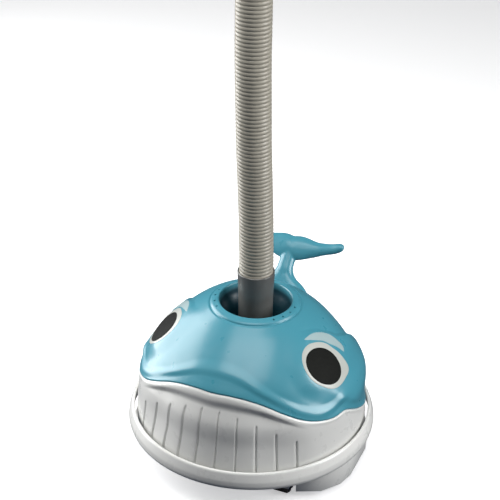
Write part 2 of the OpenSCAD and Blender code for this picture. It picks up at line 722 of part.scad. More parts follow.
// The A-shaped frame that hangs a pod from its pivot pin, with a window for the eccentric
module frame(side) {
    spread = 60;
    window_y = 8 + 2 * throw + 0.5;
    window_z = 8 + throw + 1;
    color(GREY) on_side(side) translate([frame_x, axis_y, 0]) difference() {
        union() {
            along_x() linear_extrude(frame_t) {
                for (end = [-1, 1]) {
                    bar([0, pivot_z], [end * spread, web_top + 4], 9);
                    translate([end * spread - 10, web_top]) square([20, 4]);
                }
                bar([-24, turbine_z - window_z - 5], [24, turbine_z - window_z - 5], 9);
                translate([-window_y - 5, turbine_z - window_z - 5])
                    square([2 * window_y + 10, 2 * window_z + 10]);
            }
            translate([-2, 0, pivot_z]) along_x() cylinder(r = 9, h = frame_t + 4);
            for (end = [-1, 1])
                translate([0, end * spread - 10, web_top]) cube([frame_t + 12, 20, 4]);
        }
        translate([-1, -window_y, turbine_z - window_z]) cube([frame_t + 2, 2 * window_y, 2 * window_z]);
        translate([-3, 0, pivot_z]) along_x() cylinder(r = pin_r + fit, h = frame_t + 6);
        for (end = [-1, 1])
            translate([frame_t + 6, end * spread, web_top - 1]) cylinder(r = 2, h = 6);
    }
}

module pod_bolts(side) {
    color("silver") on_side(side) for (end = [-1, 1])
        translate([frame_x + frame_t + 6, axis_y + end * 60, web_top]) union() {
            cylinder(r = 2, h = 4.5);
            translate([0, 0, 4]) cylinder(r = 4, h = 3, $fn = 6);
        }
}

// ---- Flaps ----

module flap(end) {
    drop = flap_z - 4;
    out = 30;
    tilt = atan2(out, drop);
    color(DARK) translate([-flap_w / 2, axis_y + end * flap_hinge, flap_z]) difference() {
        union() {
            along_x() cylinder(r = 3.6, h = flap_w);
            rotate([end * tilt, 0, 0]) translate([0, -1.5, -norm([drop, out])])
                cube([flap_w, 3, norm([drop, out]) - 2.5]);
        }
        translate([-1, 0, 0]) along_x() cylinder(r = rod_r + fit, h = flap_w + 2);
    }
}

// ---- Hose ----

module hose() {
    sides = 12;
    color("#b7b0a0") capped_solid([for (p = hose_route)
        [for (j = [0 : sides - 1]) [p[0] + hose_r * cos(j * 30), p[1] + hose_r * sin(j * 30), p[2]]]]);
}

module hose_end_cuff() {
    grip = 24;
    color(DARK) translate([hose_end[0], hose_end[1], hose_end[2] - grip]) difference() {
        union() {
            cylinder(r = hose_r + 3, h = end_cuff_h + 10);
            cylinder(r = hose_r + 4.5, h = 6);
        }
        translate([0, 0, -1]) cylinder(r = hose_r + 0.15, h = grip + 1);
        cylinder(r = end_bore, h = end_cuff_h + 11);
    }
}

whale_shell();
tail();
eye_white(1);  // eye_white_left
eye_white(-1);  // eye_white_right
eye_pupil(1);  // eye_pupil_left
eye_pupil(-1);  // eye_pupil_right
brow(1);  // brow_left
brow(-1);  // brow_right
jaw();
bumper_ring();
base_pan();
intake_throat();
turbine_housing();
turbine();
turbine_shaft();
bearing(1);  // bearing_left
bearing(-1);  // bearing_right
eccentric(1);  // eccentric_left
eccentric(-1);  // eccentric_right
pinion();
drive_gear();
countershaft();
step_finger();
steering_gear();
steering_shaft();
star_wheel();
bridge();
swivel_bearing();
swivel_tube();
swivel_gear();
retaining_ring();
bracket(1);  // bracket_left
bracket(-1);  // bracket_right
pivot_pin(1);  // pivot_pin_left
pivot_pin(-1);  // pivot_pin_right
frame(1);  // frame_left
frame(-1);  // frame_right
pod(1);  // pod_left
pod(-1);  // pod_right
shoe(1);  // shoe_left
shoe(-1);  // shoe_right
pod_bolts(1);  // pod_bolts_left
pod_bolts(-1);  // pod_bolts_right
flap(-1);  // front_flap
flap(1);  // rear_flap
flap_rod(-1);  // front_flap_rod
flap_rod(1);  // rear_flap_rod
ballast();
pan_screws();
hose();
hose_end_cuff();
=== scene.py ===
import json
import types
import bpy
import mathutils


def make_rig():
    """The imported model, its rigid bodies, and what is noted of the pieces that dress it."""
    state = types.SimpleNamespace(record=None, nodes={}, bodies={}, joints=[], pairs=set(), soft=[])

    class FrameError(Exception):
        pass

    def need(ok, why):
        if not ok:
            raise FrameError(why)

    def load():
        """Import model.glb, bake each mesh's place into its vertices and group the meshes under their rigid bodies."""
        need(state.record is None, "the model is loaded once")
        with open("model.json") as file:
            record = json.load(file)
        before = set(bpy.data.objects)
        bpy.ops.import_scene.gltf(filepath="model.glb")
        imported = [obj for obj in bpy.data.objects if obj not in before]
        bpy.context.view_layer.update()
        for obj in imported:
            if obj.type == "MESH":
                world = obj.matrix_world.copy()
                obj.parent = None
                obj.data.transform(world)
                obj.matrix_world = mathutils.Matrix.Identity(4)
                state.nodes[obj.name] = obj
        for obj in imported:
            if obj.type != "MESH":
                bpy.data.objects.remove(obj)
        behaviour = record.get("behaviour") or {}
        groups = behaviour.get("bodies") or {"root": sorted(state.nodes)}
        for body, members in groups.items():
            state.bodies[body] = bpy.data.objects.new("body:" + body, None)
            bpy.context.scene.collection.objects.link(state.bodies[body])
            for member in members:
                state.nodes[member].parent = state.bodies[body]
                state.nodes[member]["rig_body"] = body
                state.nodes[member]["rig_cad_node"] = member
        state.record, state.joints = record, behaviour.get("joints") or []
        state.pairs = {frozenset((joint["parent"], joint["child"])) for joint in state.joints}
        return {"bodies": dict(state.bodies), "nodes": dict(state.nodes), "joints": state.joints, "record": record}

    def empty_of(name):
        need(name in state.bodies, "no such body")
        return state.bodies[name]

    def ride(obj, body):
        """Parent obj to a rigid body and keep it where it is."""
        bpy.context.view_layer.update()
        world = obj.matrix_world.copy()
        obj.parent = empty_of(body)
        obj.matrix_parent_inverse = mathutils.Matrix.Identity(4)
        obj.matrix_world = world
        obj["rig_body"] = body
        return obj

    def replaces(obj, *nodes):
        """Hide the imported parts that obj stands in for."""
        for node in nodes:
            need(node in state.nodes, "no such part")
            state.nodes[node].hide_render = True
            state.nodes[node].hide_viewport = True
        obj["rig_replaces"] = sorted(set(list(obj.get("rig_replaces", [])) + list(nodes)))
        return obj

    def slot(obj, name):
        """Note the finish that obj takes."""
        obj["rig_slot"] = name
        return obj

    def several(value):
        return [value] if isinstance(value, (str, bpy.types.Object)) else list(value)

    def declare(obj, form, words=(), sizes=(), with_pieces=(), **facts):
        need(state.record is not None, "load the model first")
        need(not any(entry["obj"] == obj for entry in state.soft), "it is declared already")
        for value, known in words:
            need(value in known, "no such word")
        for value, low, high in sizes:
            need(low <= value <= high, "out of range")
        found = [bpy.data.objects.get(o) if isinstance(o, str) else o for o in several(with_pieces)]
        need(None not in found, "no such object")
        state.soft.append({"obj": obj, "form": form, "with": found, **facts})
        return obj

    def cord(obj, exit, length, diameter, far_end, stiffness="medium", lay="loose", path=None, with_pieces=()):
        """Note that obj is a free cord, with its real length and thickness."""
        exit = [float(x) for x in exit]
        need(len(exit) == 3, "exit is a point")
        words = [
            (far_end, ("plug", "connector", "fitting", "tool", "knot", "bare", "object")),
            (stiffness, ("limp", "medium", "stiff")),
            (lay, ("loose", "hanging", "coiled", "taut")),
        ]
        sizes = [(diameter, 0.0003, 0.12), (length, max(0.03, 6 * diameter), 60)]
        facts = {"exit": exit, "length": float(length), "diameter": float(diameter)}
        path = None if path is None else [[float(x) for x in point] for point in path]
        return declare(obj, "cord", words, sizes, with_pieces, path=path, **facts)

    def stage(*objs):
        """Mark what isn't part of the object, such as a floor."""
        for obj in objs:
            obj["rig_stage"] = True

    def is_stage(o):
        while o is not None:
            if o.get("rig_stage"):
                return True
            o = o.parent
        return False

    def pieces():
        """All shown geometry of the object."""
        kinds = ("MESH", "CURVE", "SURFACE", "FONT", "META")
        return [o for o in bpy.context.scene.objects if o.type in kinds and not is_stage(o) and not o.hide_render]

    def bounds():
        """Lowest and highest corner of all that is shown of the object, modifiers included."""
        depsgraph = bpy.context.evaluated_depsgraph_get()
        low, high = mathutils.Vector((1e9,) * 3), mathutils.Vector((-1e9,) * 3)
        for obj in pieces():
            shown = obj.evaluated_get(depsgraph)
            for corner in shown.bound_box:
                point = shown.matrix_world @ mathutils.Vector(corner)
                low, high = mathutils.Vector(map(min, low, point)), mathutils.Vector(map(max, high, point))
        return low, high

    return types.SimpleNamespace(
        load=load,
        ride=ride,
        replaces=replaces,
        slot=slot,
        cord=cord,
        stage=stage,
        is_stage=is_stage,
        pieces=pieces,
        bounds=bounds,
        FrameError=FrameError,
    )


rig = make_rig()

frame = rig.load()

import json
import math

import bpy
from mathutils import Matrix, Vector

MM = 0.001
cad_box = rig.bounds()
scene = bpy.context.scene


# ---- Camera ----

CAMERA_AZIMUTH = 22.4
CAMERA_TURN = 0.19                # the aim lies this far to the left of the object's axis
CAMERA_PITCH = 29.5
CAMERA_ROLL = 0.8
CAMERA_REACH = 1.5384
CAMERA_HEIGHT = 1.1898
CAMERA_LENS = 93.6


def add_camera():
    azimuth = math.radians(CAMERA_AZIMUTH)
    data = bpy.data.cameras.new("camera")
    data.lens = CAMERA_LENS
    data.sensor_width = 36
    camera = bpy.data.objects.new("camera", data)
    scene.collection.objects.link(camera)
    place = Vector((CAMERA_REACH * math.sin(azimuth), -CAMERA_REACH * math.cos(azimuth), CAMERA_HEIGHT))
    turn = Matrix.Rotation(math.radians(CAMERA_AZIMUTH + CAMERA_TURN), 4, "Z")
    tilt = Matrix.Rotation(math.radians(90 - CAMERA_PITCH), 4, "X")
    roll = Matrix.Rotation(math.radians(CAMERA_ROLL), 4, "Z")
    camera.matrix_world = Matrix.Translation(place) @ turn @ tilt @ roll
    scene.camera = camera


add_camera()


# ---- Tools ----

def only(obj):
    """Selects one object and nothing else."""
    bpy.ops.object.select_all(action="DESELECT")
    obj.select_set(True)
    bpy.context.view_layer.objects.active = obj


def smooth(t):
    t = min(max(t, 0.0), 1.0)
    return t * t * (3 - 2 * t)


def bell(t):
    return 1 - smooth(abs(t))


def along(outline, x):
    """Value at x of a smooth curve through an outline's points."""
    last = len(outline) - 1
    i = 0
    while i < last - 1 and x >= outline[i + 1][0]:
        i += 1

    def slope(k):
        a, b = outline[max(k - 1, 0)], outline[min(k + 1, last)]
        return (b[1] - a[1]) / (b[0] - a[0])

    (x0, y0), (x1, y1) = outline[i], outline[i + 1]
    h = x1 - x0
    t = min(max((x - x0) / h, 0.0), 1.0)
    curve = y0 + (y1 - y0) * t * t * (3 - 2 * t)
    return curve + h * t * (1 - t) * (slope(i) * (1 - t) - slope(i + 1) * t)


def apply_modifiers(obj):
    only(obj)
    for modifier in list(obj.modifiers):
        bpy.ops.object.modifier_apply(modifier=modifier.name)


def smooth_shading(obj, angle=35):
    only(obj)
    bpy.ops.object.shade_smooth_by_angle(angle=math.radians(angle))
    return obj


def weld(obj, distance=0.00002):
    only(obj)
    bpy.ops.object.mode_set(mode="EDIT")
    bpy.ops.mesh.select_all(action="SELECT")
    bpy.ops.mesh.remove_doubles(threshold=distance)
    bpy.ops.mesh.normals_make_consistent(inside=False)
    bpy.ops.object.mode_set(mode="OBJECT")


def cap_ends(obj):
    """Closes each open end of a tube on its own."""
    only(obj)
    bpy.ops.object.mode_set(mode="EDIT")
    bpy.ops.mesh.select_all(action="SELECT")
    bpy.ops.mesh.fill_holes(sides=0)
    bpy.ops.mesh.normals_make_consistent(inside=False)
    bpy.ops.object.mode_set(mode="OBJECT")


def wrapped_grid(name, columns, rows, place):
    """A grid whose corners are put where place(across, up) says, both from 0 to 1, with its edges welded."""
    bpy.ops.object.select_all(action="DESELECT")
    bpy.ops.mesh.primitive_grid_add(x_subdivisions=columns, y_subdivisions=rows, size=2)
    obj = bpy.context.active_object
    obj.name = name
    for vertex in obj.data.vertices:
        vertex.co = place((vertex.co.x + 1) / 2, (vertex.co.y + 1) / 2)
    weld(obj)
    return obj


def thickened(obj, wall):
    """A wall on the inner side of the surface."""
    solid = obj.modifiers.new("wall", "SOLIDIFY")
    solid.thickness = wall
    solid.offset = -1
    apply_modifiers(obj)
    return obj


def lathed(name, profile, centre, steps=192, angle=35):
    """A closed outline of (radius, height), spun about a vertical axis."""
    bpy.ops.object.select_all(action="DESELECT")
    bpy.ops.mesh.primitive_circle_add(vertices=len(profile), radius=0.01, fill_type="NOTHING")
    obj = bpy.context.active_object
    obj.name = name
    for vertex, (radius, height) in zip(obj.data.vertices, profile):
        vertex.co = (centre[0] + radius, centre[1], height)
    bpy.ops.object.mode_set(mode="EDIT")
    bpy.ops.mesh.select_all(action="SELECT")
    bpy.ops.mesh.spin(steps=steps, angle=2 * math.pi, center=(centre[0], centre[1], 0), axis=(0, 0, 1))
    bpy.ops.object.mode_set(mode="OBJECT")
    obj.location = (0, 0, 0)
    weld(obj)
    return smooth_shading(obj, angle)


def rounded(points, radius, steps=5):
    """A closed outline with every corner rounded."""
    out = []
    count = len(points)
    for i in range(count):
        before, here, after = (Vector(points[(i + k) % count]) for k in (-1, 0, 1))
        reach = min(radius, (before - here).length * 0.45, (after - here).length * 0.45)
        start = here + (before - here).normalized() * reach
        end = here + (after - here).normalized() * reach
        for k in range(steps + 1):
            t = k / steps
            out.append(tuple(start * (1 - t) ** 2 + here * 2 * t * (1 - t) + end * t ** 2))
    return out


def in_metres(points):
    return [tuple(c * MM for c in point) for point in points]


def finish_piece(obj, body, slot, material, *nodes):
    obj.data.materials.clear()
    obj.data.materials.append(material)
    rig.ride(obj, body)
    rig.slot(obj, slot)
    if nodes:
        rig.replaces(obj, *nodes)
    return obj


def eased_copy(node, width, material, slot, angle=30, segments=2):
    """A CAD node's shape with its edges eased, which stands for the node."""
    source = frame["nodes"][node]
    obj = source.copy()
    obj.data = source.data.copy()
    obj.name = node + "_eased"
    obj.parent = None
    for key in list(obj.keys()):
        del obj[key]
    scene.collection.objects.link(obj)
    obj.hide_render = False
    weld(obj, 0.00001)
    bpy.ops.object.mode_set(mode="EDIT")
    bpy.ops.mesh.select_all(action="SELECT")
    bpy.ops.mesh.dissolve_limited(angle_limit=math.radians(4))
    bpy.ops.object.mode_set(mode="OBJECT")
    edge = obj.modifiers.new("eased edges", "BEVEL")
    edge.width = width
    edge.segments = segments
    edge.limit_method = "ANGLE"
    edge.angle_limit = math.radians(angle)
    edge.use_clamp_overlap = True
    apply_modifiers(obj)
    smooth_shading(obj, 40)
    return finish_piece(obj, source["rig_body"], slot, material, node)


# ---- Materials ----

def new_material(name):
    material = bpy.data.materials.new(name)
    material.use_nodes = True
    return material, material.node_tree.nodes, material.node_tree.links


def noise(nodes, links, scale, detail=4):
    where = nodes.new("ShaderNodeTexCoord")
    texture = nodes.new("ShaderNodeTexNoise")
    texture.inputs["Scale"].default_value = scale
    texture.inputs["Detail"].default_value = detail
    links.new(where.outputs["Object"], texture.inputs["Vector"])
    return texture


def spread(nodes, links, source, low, high):
    """Remaps a 0 to 1 value to a range."""
    remap = nodes.new("ShaderNodeMapRange")
    remap.inputs["From Min"].default_value = 0.3
    remap.inputs["From Max"].default_value = 0.7
    remap.inputs["To Min"].default_value = low
    remap.inputs["To Max"].default_value = high
    links.new(source, remap.inputs["Value"])
    return remap.outputs["Result"]


def tone(nodes, links, factor, first, second):
    mix = nodes.new("ShaderNodeMix")
    mix.data_type = "RGBA"
    mix.inputs["A"].default_value = (*first, 1)
    mix.inputs["B"].default_value = (*second, 1)
    links.new(factor, mix.inputs["Factor"])
    return mix.outputs["Result"]


def moulded(name, colour, shade, roughness=0.3, coat=0.0, grain=900, bump=0.02, metallic=0.0):
    """Moulded plastic, rubber or metal: a faint mottle of two tones, uneven gloss and a fine skin texture."""
    material, nodes, links = new_material(name)
    shader = nodes["Principled BSDF"]
    shader.inputs["Metallic"].default_value = metallic
    shader.inputs["Coat Weight"].default_value = coat
    shader.inputs["Coat Roughness"].default_value = 0.16
    mottle = noise(nodes, links, 14)
    links.new(tone(nodes, links, mottle.outputs["Fac"], colour, shade), shader.inputs["Base Color"])
    links.new(spread(nodes, links, noise(nodes, links, 60).outputs["Fac"], roughness * 0.85, roughness * 1.15),
              shader.inputs["Roughness"])
    skin_bump = nodes.new("ShaderNodeBump")
    skin_bump.inputs["Strength"].default_value = bump
    skin_bump.inputs["Distance"].default_value = 0.0004
    links.new(noise(nodes, links, grain, 6).outputs["Fac"], skin_bump.inputs["Height"])
    links.new(skin_bump.outputs["Normal"], shader.inputs["Normal"])
    return material


TEAL = (0.066, 0.30, 0.385)
TEAL_SHADE = (0.06, 0.285, 0.368)
# Painted shade for the inside of the funnel, where the rim keeps the light off
FUNNEL_PAINTED_SHADE = (0.006, 0.040, 0.058)
WHITE = (0.80, 0.80, 0.77)
WHITE_SHADE = (0.77, 0.77, 0.74)


def shell_blue():
    """Satin blue plastic, darkened by painted shade down the inside of the funnel."""
    material = moulded("shell_blue", TEAL, TEAL_SHADE, roughness=0.32, coat=0.3, grain=500, bump=0.01)
    nodes, links = material.node_tree.nodes, material.node_tree.links
    shader = nodes["Principled BSDF"]
    plain = shader.inputs["Base Color"].links[0].from_socket
    where = nodes.new("ShaderNodeTexCoord")
    split = nodes.new("ShaderNodeSeparateXYZ")
    flat = nodes.new("ShaderNodeVectorMath")
    flat.operation = "MULTIPLY_ADD"
    flat.inputs[1].default_value = (1, 1, 0)
    flat.inputs[2].default_value = (0, -AXIS_Y * MM, 0)
    reach = nodes.new("ShaderNodeVectorMath")
    reach.operation = "LENGTH"
    links.new(where.outputs["Object"], split.inputs["Vector"])
    links.new(where.outputs["Object"], flat.inputs[0])
    links.new(flat.outputs["Vector"], reach.inputs[0])
    # Mask of the painted shade: inside the opening's edge and below the crest
    ends = ((reach.outputs["Value"], OPENING_R + 1, OPENING_R - 1), (split.outputs["Z"], CREST - 1.5, CREST - 9))
    shares = []
    for source, start, stop in ends:
        remap = nodes.new("ShaderNodeMapRange")
        remap.inputs["From Min"].default_value = start * MM
        remap.inputs["From Max"].default_value = stop * MM
        links.new(source, remap.inputs["Value"])
        shares.append(remap.outputs["Result"])
    both = nodes.new("ShaderNodeMath")
    both.operation = "MULTIPLY"
    links.new(shares[0], both.inputs[0])
    links.new(shares[1], both.inputs[1])
    # Mixes the painted funnel shade into the plain blue
    mix = nodes.new("ShaderNodeMix")
    mix.data_type = "RGBA"
    mix.inputs["B"].default_value = (*FUNNEL_PAINTED_SHADE, 1)
    links.new(plain, mix.inputs["A"])
    links.new(both.outputs["Value"], mix.inputs["Factor"])
    links.new(mix.outputs["Result"], shader.inputs["Base Color"])
    return material


def pupil_mesh():
    """Near-black insert with a fine woven mesh."""
    material, nodes, links = new_material("pupil_mesh")
    shader = nodes["Principled BSDF"]
    shader.inputs["Roughness"].default_value = 0.6
    shader.inputs["Specular IOR Level"].default_value = 0.1
    where = nodes.new("ShaderNodeTexCoord")
    weave = nodes.new("ShaderNodeTexVoronoi")
    weave.inputs["Scale"].default_value = 900
    links.new(where.outputs["Object"], weave.inputs["Vector"])
    links.new(tone(nodes, links, weave.outputs["Distance"], (0.003, 0.0035, 0.003), (0.010, 0.011, 0.009)),
              shader.inputs["Base Color"])
    bump = nodes.new("ShaderNodeBump")
    bump.inputs["Strength"].default_value = 0.4
    bump.inputs["Distance"].default_value = 0.0004
    links.new(weave.outputs["Distance"], bump.inputs["Height"])
    links.new(bump.outputs["Normal"], shader.inputs["Normal"])
    return material


# ---- The shell's shape, in millimetres ----

SEAM = 72.0
FOOT_R = 165.0
CREST = SEAM + 163.6
RIM_FOOT = CREST - 5
RISE = RIM_FOOT - SEAM
AXIS_Y = 10.0
RIM_R = 61.8
OPENING_R = 51.7
RIM_FOOT_R = RIM_R + 4.2
WALL = 3.0
FUNNEL = CREST - 50
TUBE_R = 24.0

DOME = [
    (0, 1), (0.16, 0.98), (0.35, 0.944), (0.46, 0.865), (0.56, 0.765), (0.66, 0.66), (0.76, 0.52),
    (0.86, 0.345), (0.94, 0.17), (1, 0),
]
LIP = [
    (0, 98), (10, 98), (20, 95), (30, 88), (40, 76.5), (50, 64.5), (60, 56), (68, 52), (76, 51.5),
    (84, 40), (92, 28), (100, 18), (112, 7), (126, 4), (180, 4),
]
SMILE = [(0, 24), (15, 21), (30, 15), (45, 12), (58, 11), (66, 14), (74, 19), (82, 27), (180, 27)]
EYE_ANGLE = 72.6
EYE_UP = 112.8
MERIDIAN = 1.31
PUPIL_LONG, PUPIL_SHORT, PUPIL_TURN = 30.4, 23.7, 140
EYE_OUTLINE = [
    (-180, 31), (-160, 29), (-138, 27.5), (-120, 28.7), (-96, 32.5), (-72, 36.5), (-60, 39), (-48, 42.8),
    (-38, 48.5), (-30, 51), (-23, 48.5), (-12, 43), (0, 38.5), (12, 34.5), (24, 32), (36, 31), (60, 30.6),
    (84, 31.6), (108, 34.5), (132, 35.5), (156, 34), (180, 31),
]
# The brow's two edges and the crease round the eye, by direction from the eye
BROW_FROM, BROW_TO = -5, 102
BROW_INNER = [
    (-5, 51), (0, 47), (12, 40.5), (24, 35.7), (36, 33.2), (60, 32.6), (72, 33), (84, 34.6), (96, 37.8), (102, 40),
]
BROW_OUTER = [(-5, 52), (-1, 57), (12, 53), (24, 49.7), (36, 46.8), (48, 44.5), (60, 43), (84, 41.8), (102, 40.6)]
CREASE = [
    (-180, 60), (-120, 60), (-95, 68), (-70, 105), (-45, 185), (-22, 185), (-15, 150), (-9, 121), (-3, 97),
    (4, 77), (12, 63.5), (24, 54.5), (36, 48.6), (48, 45.6), (60, 44.6), (72, 44.2), (84, 44.8), (96, 48),
    (110, 56), (140, 60), (180, 60),
]
CREASE_SPREAD = [
    (-180, 34), (-95, 34), (-60, 40), (-25, 20), (-12, 6), (0, 3.2), (12, 2.6), (84, 2.4), (96, 8), (110, 24),
    (140, 34), (180, 34),
]


def fold(a):
    return abs((a + 180) % 360 - 180)


def dome_radius(z):
    share = along(DOME, min(max((z - SEAM) / RISE, 0), 1))
    return RIM_FOOT_R + (FOOT_R - RIM_FOOT_R) * share


def axis_shift(z):
    return AXIS_Y * smooth((z - SEAM - 0.62 * RISE) / (0.38 * RISE))


def around(a, r, z):
    a = math.radians(a)
    return (r * math.sin(a) * MM, (axis_shift(z) - r * math.cos(a)) * MM, z * MM)


def lip_height(a):
    return SEAM + along(LIP, fold(a))


def eye_place(a, z):
    """(distance, direction) of a place on the skin from the nearer eye, direction 0 towards the tail."""
    side = (fold(a) - EYE_ANGLE) * math.pi / 180 * dome_radius(z)
    up = (z - SEAM - EYE_UP) * MERIDIAN
    return math.hypot(side, up), math.degrees(math.atan2(up, side))


def pupil_radius(direction):
    turn = math.radians(direction - PUPIL_TURN)
    return 1 / math.hypot(math.cos(turn) / PUPIL_LONG, math.sin(turn) / PUPIL_SHORT)


def cheek(a, z):
    """The shell stands out round each eye and over the hip, up to a sharp crease behind the brow."""
    f = fold(a)
    distance, direction = eye_place(a, z)
    inside = smooth((along(CREASE, direction) - distance) / along(CREASE_SPREAD, direction))
    height = 4.6 + 2.4 * smooth((f - 98) / 22)
    return height * inside * smooth((162 - f) / 24) * smooth((z - SEAM - 30) / 44)


def relief(a, z):
    f = fold(a)
    above = z - lip_height(a)
    lip = 1.2 * bell(above / 12)
    smile = 2.0 * bell((above - along(SMILE, f)) / 9) * smooth((84 - f) / 10)
    return lip + smile + cheek(a, z)


def skin(a, z, out=0.0):
    return around(a, dome_radius(z) + relief(a, z) + out, z)


def eye_point(distance, direction, out, side):
    direction = math.radians(direction)
    z = SEAM + EYE_UP + distance * math.sin(direction) / MERIDIAN
    a = EYE_ANGLE + math.degrees(distance * math.cos(direction) / dome_radius(z))
    return skin(side * a, z, out)


# ---- The material of each slot ----

BLUE = shell_blue()
WHITE_PLASTIC = moulded("white_plastic", WHITE, WHITE_SHADE, roughness=0.3, coat=0.3, bump=0.02)
EYE_WHITE = moulded("eye_white", (0.52, 0.54, 0.50), (0.49, 0.51, 0.47), roughness=0.35, coat=0.2)
EYE_DARK = pupil_mesh()
BROW_PALE = moulded("brow_pale", (0.37, 0.49, 0.50), (0.35, 0.465, 0.475), roughness=0.35, coat=0.2)
CUFF_GREY = moulded("cuff_grey", (0.20, 0.20, 0.19), (0.185, 0.185, 0.175), roughness=0.34, coat=0.1,
                    grain=1400, bump=0.08, metallic=0.45)
HOSE_PLASTIC = moulded("hose_plastic", (0.40, 0.375, 0.31), (0.36, 0.335, 0.275), roughness=0.4, coat=0.1,
                       grain=1200, bump=0.05)
BLACK_PLASTIC = moulded("black_plastic", (0.018, 0.018, 0.019), (0.024, 0.024, 0.025), roughness=0.4, bump=0.1)
RUBBER = moulded("black_rubber", (0.022, 0.022, 0.022), (0.032, 0.031, 0.03), roughness=0.7, grain=700, bump=0.25)
GREY_PLASTIC = moulded("grey_plastic", (0.26, 0.26, 0.25), (0.23, 0.23, 0.22), roughness=0.45, bump=0.1)
GEAR_PLASTIC = moulded("gear_plastic", (0.66, 0.64, 0.56), (0.61, 0.59, 0.51), roughness=0.4, bump=0.05)
STEEL = moulded("steel", (0.55, 0.55, 0.56), (0.48, 0.48, 0.49), roughness=0.28, metallic=1.0, bump=0.05)
BRONZE = moulded("bronze", (0.50, 0.33, 0.14), (0.42, 0.28, 0.12), roughness=0.4, metallic=1.0, bump=0.1)
IRON = moulded("ballast_iron", (0.10, 0.105, 0.11), (0.08, 0.085, 0.09), roughness=0.6, grain=300, bump=0.4)

MATERIALS = {
    "shell_blue": BLUE, "white_plastic": WHITE_PLASTIC, "eye_white": EYE_WHITE, "eye_dark": EYE_DARK,
    "brow_pale": BROW_PALE, "cuff_grey": CUFF_GREY, "hose_plastic": HOSE_PLASTIC,
    "black_plastic": BLACK_PLASTIC, "black_rubber": RUBBER, "grey_plastic": GREY_PLASTIC,
    "gear_plastic": GEAR_PLASTIC, "steel": STEEL, "bronze": BRONZE, "ballast_iron": IRON,
}


# ---- Shell ----

def rim_profile():
    """The rim and funnel of the top opening, from the dome's edge down to the hole for the swivel."""
    return [
        (RIM_FOOT_R, RIM_FOOT), (RIM_R + 2.6, RIM_FOOT - 0.1), (RIM_R + 1.5, RIM_FOOT + 0.4),
        (RIM_R + 0.9, RIM_FOOT + 1.9), (RIM_R - 0.4, RIM_FOOT + 3.2), (OPENING_R + 2, CREST + 0.9),
        (OPENING_R + 0.4, CREST + 1), (OPENING_R - 0.6, CREST), (OPENING_R - 1.2, CREST - 3),
        (OPENING_R - 4, CREST - 13), (TUBE_R + 16, FUNNEL + 22), (TUBE_R + 10, FUNNEL + WALL + 1),
        (TUBE_R + 8.5, FUNNEL + WALL - 0.5),
    ]


SHELL_COLUMNS = 288
DOME_ROWS = 112
RIM_STEPS = 4
SHELL_SKIN = 2.4
LIP_TUCK, LIP_ROLL = 1.6, 2.4     # the lower edge rolls in by the first over a height of the second
DRAIN_R = 1.45
DRAIN_FIRST, DRAIN_STEP = 48, 15  # angles of the drain holes from the nose, on each side


def shell_surface(across, up):
    a = 180 + 360 * across
    rim = rim_profile()
    rows = DOME_ROWS + RIM_STEPS * (len(rim) - 1)
    k = round(up * rows)
    low = lip_height(a)
    if k <= DOME_ROWS:
        t = k / DOME_ROWS
        z = low + (RIM_FOOT - low) * t
        tuck = -LIP_TUCK * (1 - smooth((z - low) / LIP_ROLL)) - 0.001
        return skin(a, z, tuck)
    step = (k - DOME_ROWS) / RIM_STEPS
    i = min(int(step), len(rim) - 2)
    radius, z = (Vector(rim[i]) * (1 - step + i) + Vector(rim[i + 1]) * (step - i))
    turn = math.radians(a)
    return (radius * math.sin(turn) * MM, (AXIS_Y - radius * math.cos(turn)) * MM, z * MM)


def drill_rim(obj):
    """Small drain holes through the rim, four on each side."""
    drills = []
    for side in (-1, 1):
        for k in range(4):
            a = math.radians(side * (DRAIN_FIRST + DRAIN_STEP * k))
            r = (OPENING_R + RIM_R) / 2 + 0.6
            bpy.ops.object.select_all(action="DESELECT")
            bpy.ops.mesh.primitive_cylinder_add(
                vertices=16, radius=DRAIN_R * MM, depth=16 * MM,
                location=(r * math.sin(a) * MM, (AXIS_Y - r * math.cos(a)) * MM, CREST * MM))
            drills.append(bpy.context.active_object)
    for drill in drills:
        drill.select_set(True)
    bpy.context.view_layer.objects.active = drills[0]
    bpy.ops.object.join()
    drill = drills[0]
    cut = obj.modifiers.new("drain holes", "BOOLEAN")
    cut.object = drill
    cut.operation = "DIFFERENCE"
    cut.solver = "EXACT"
    apply_modifiers(obj)
    bpy.data.objects.remove(drill)


def make_shell():
    rows = DOME_ROWS + RIM_STEPS * (len(rim_profile()) - 1)
    obj = wrapped_grid("shell", SHELL_COLUMNS, rows, shell_surface)
    thickened(obj, SHELL_SKIN * MM)
    drill_rim(obj)
    smooth_shading(obj, 50)
    finish_piece(obj, "body", "shell_blue", BLUE, "whale_shell")


make_shell()


# ---- Eyes and brows ----

def eye_patch(name, radius_at, out, side, slot, material, node):
    """A thin inlay that follows the shell around an eye."""
    around_steps, rings = 96, 14
    profile = [(k / rings, out) for k in range(rings)] + [(0.985, out - 0.03), (1, out - 0.2), (1, out - 1.2)]

    def place(across, up):
        direction = 360 * across - 180
        share, lift = profile[round(up * (len(profile) - 1))]
        return eye_point(max(share, 0.0001) * radius_at(direction), direction, lift, side)

    obj = wrapped_grid(name, around_steps, len(profile) - 1, place)
    only(obj)
    bpy.ops.object.mode_set(mode="EDIT")
    bpy.ops.mesh.select_all(action="SELECT")
    bpy.ops.mesh.remove_doubles(threshold=0.00004)
    bpy.ops.mesh.select_all(action="DESELECT")
    bpy.ops.mesh.select_non_manifold()
    bpy.ops.mesh.edge_face_add()
    bpy.ops.mesh.select_all(action="SELECT")
    bpy.ops.mesh.normals_make_consistent(inside=False)
    bpy.ops.object.mode_set(mode="OBJECT")
    smooth_shading(obj, 50)
    return finish_piece(obj, "body", slot, material, node)


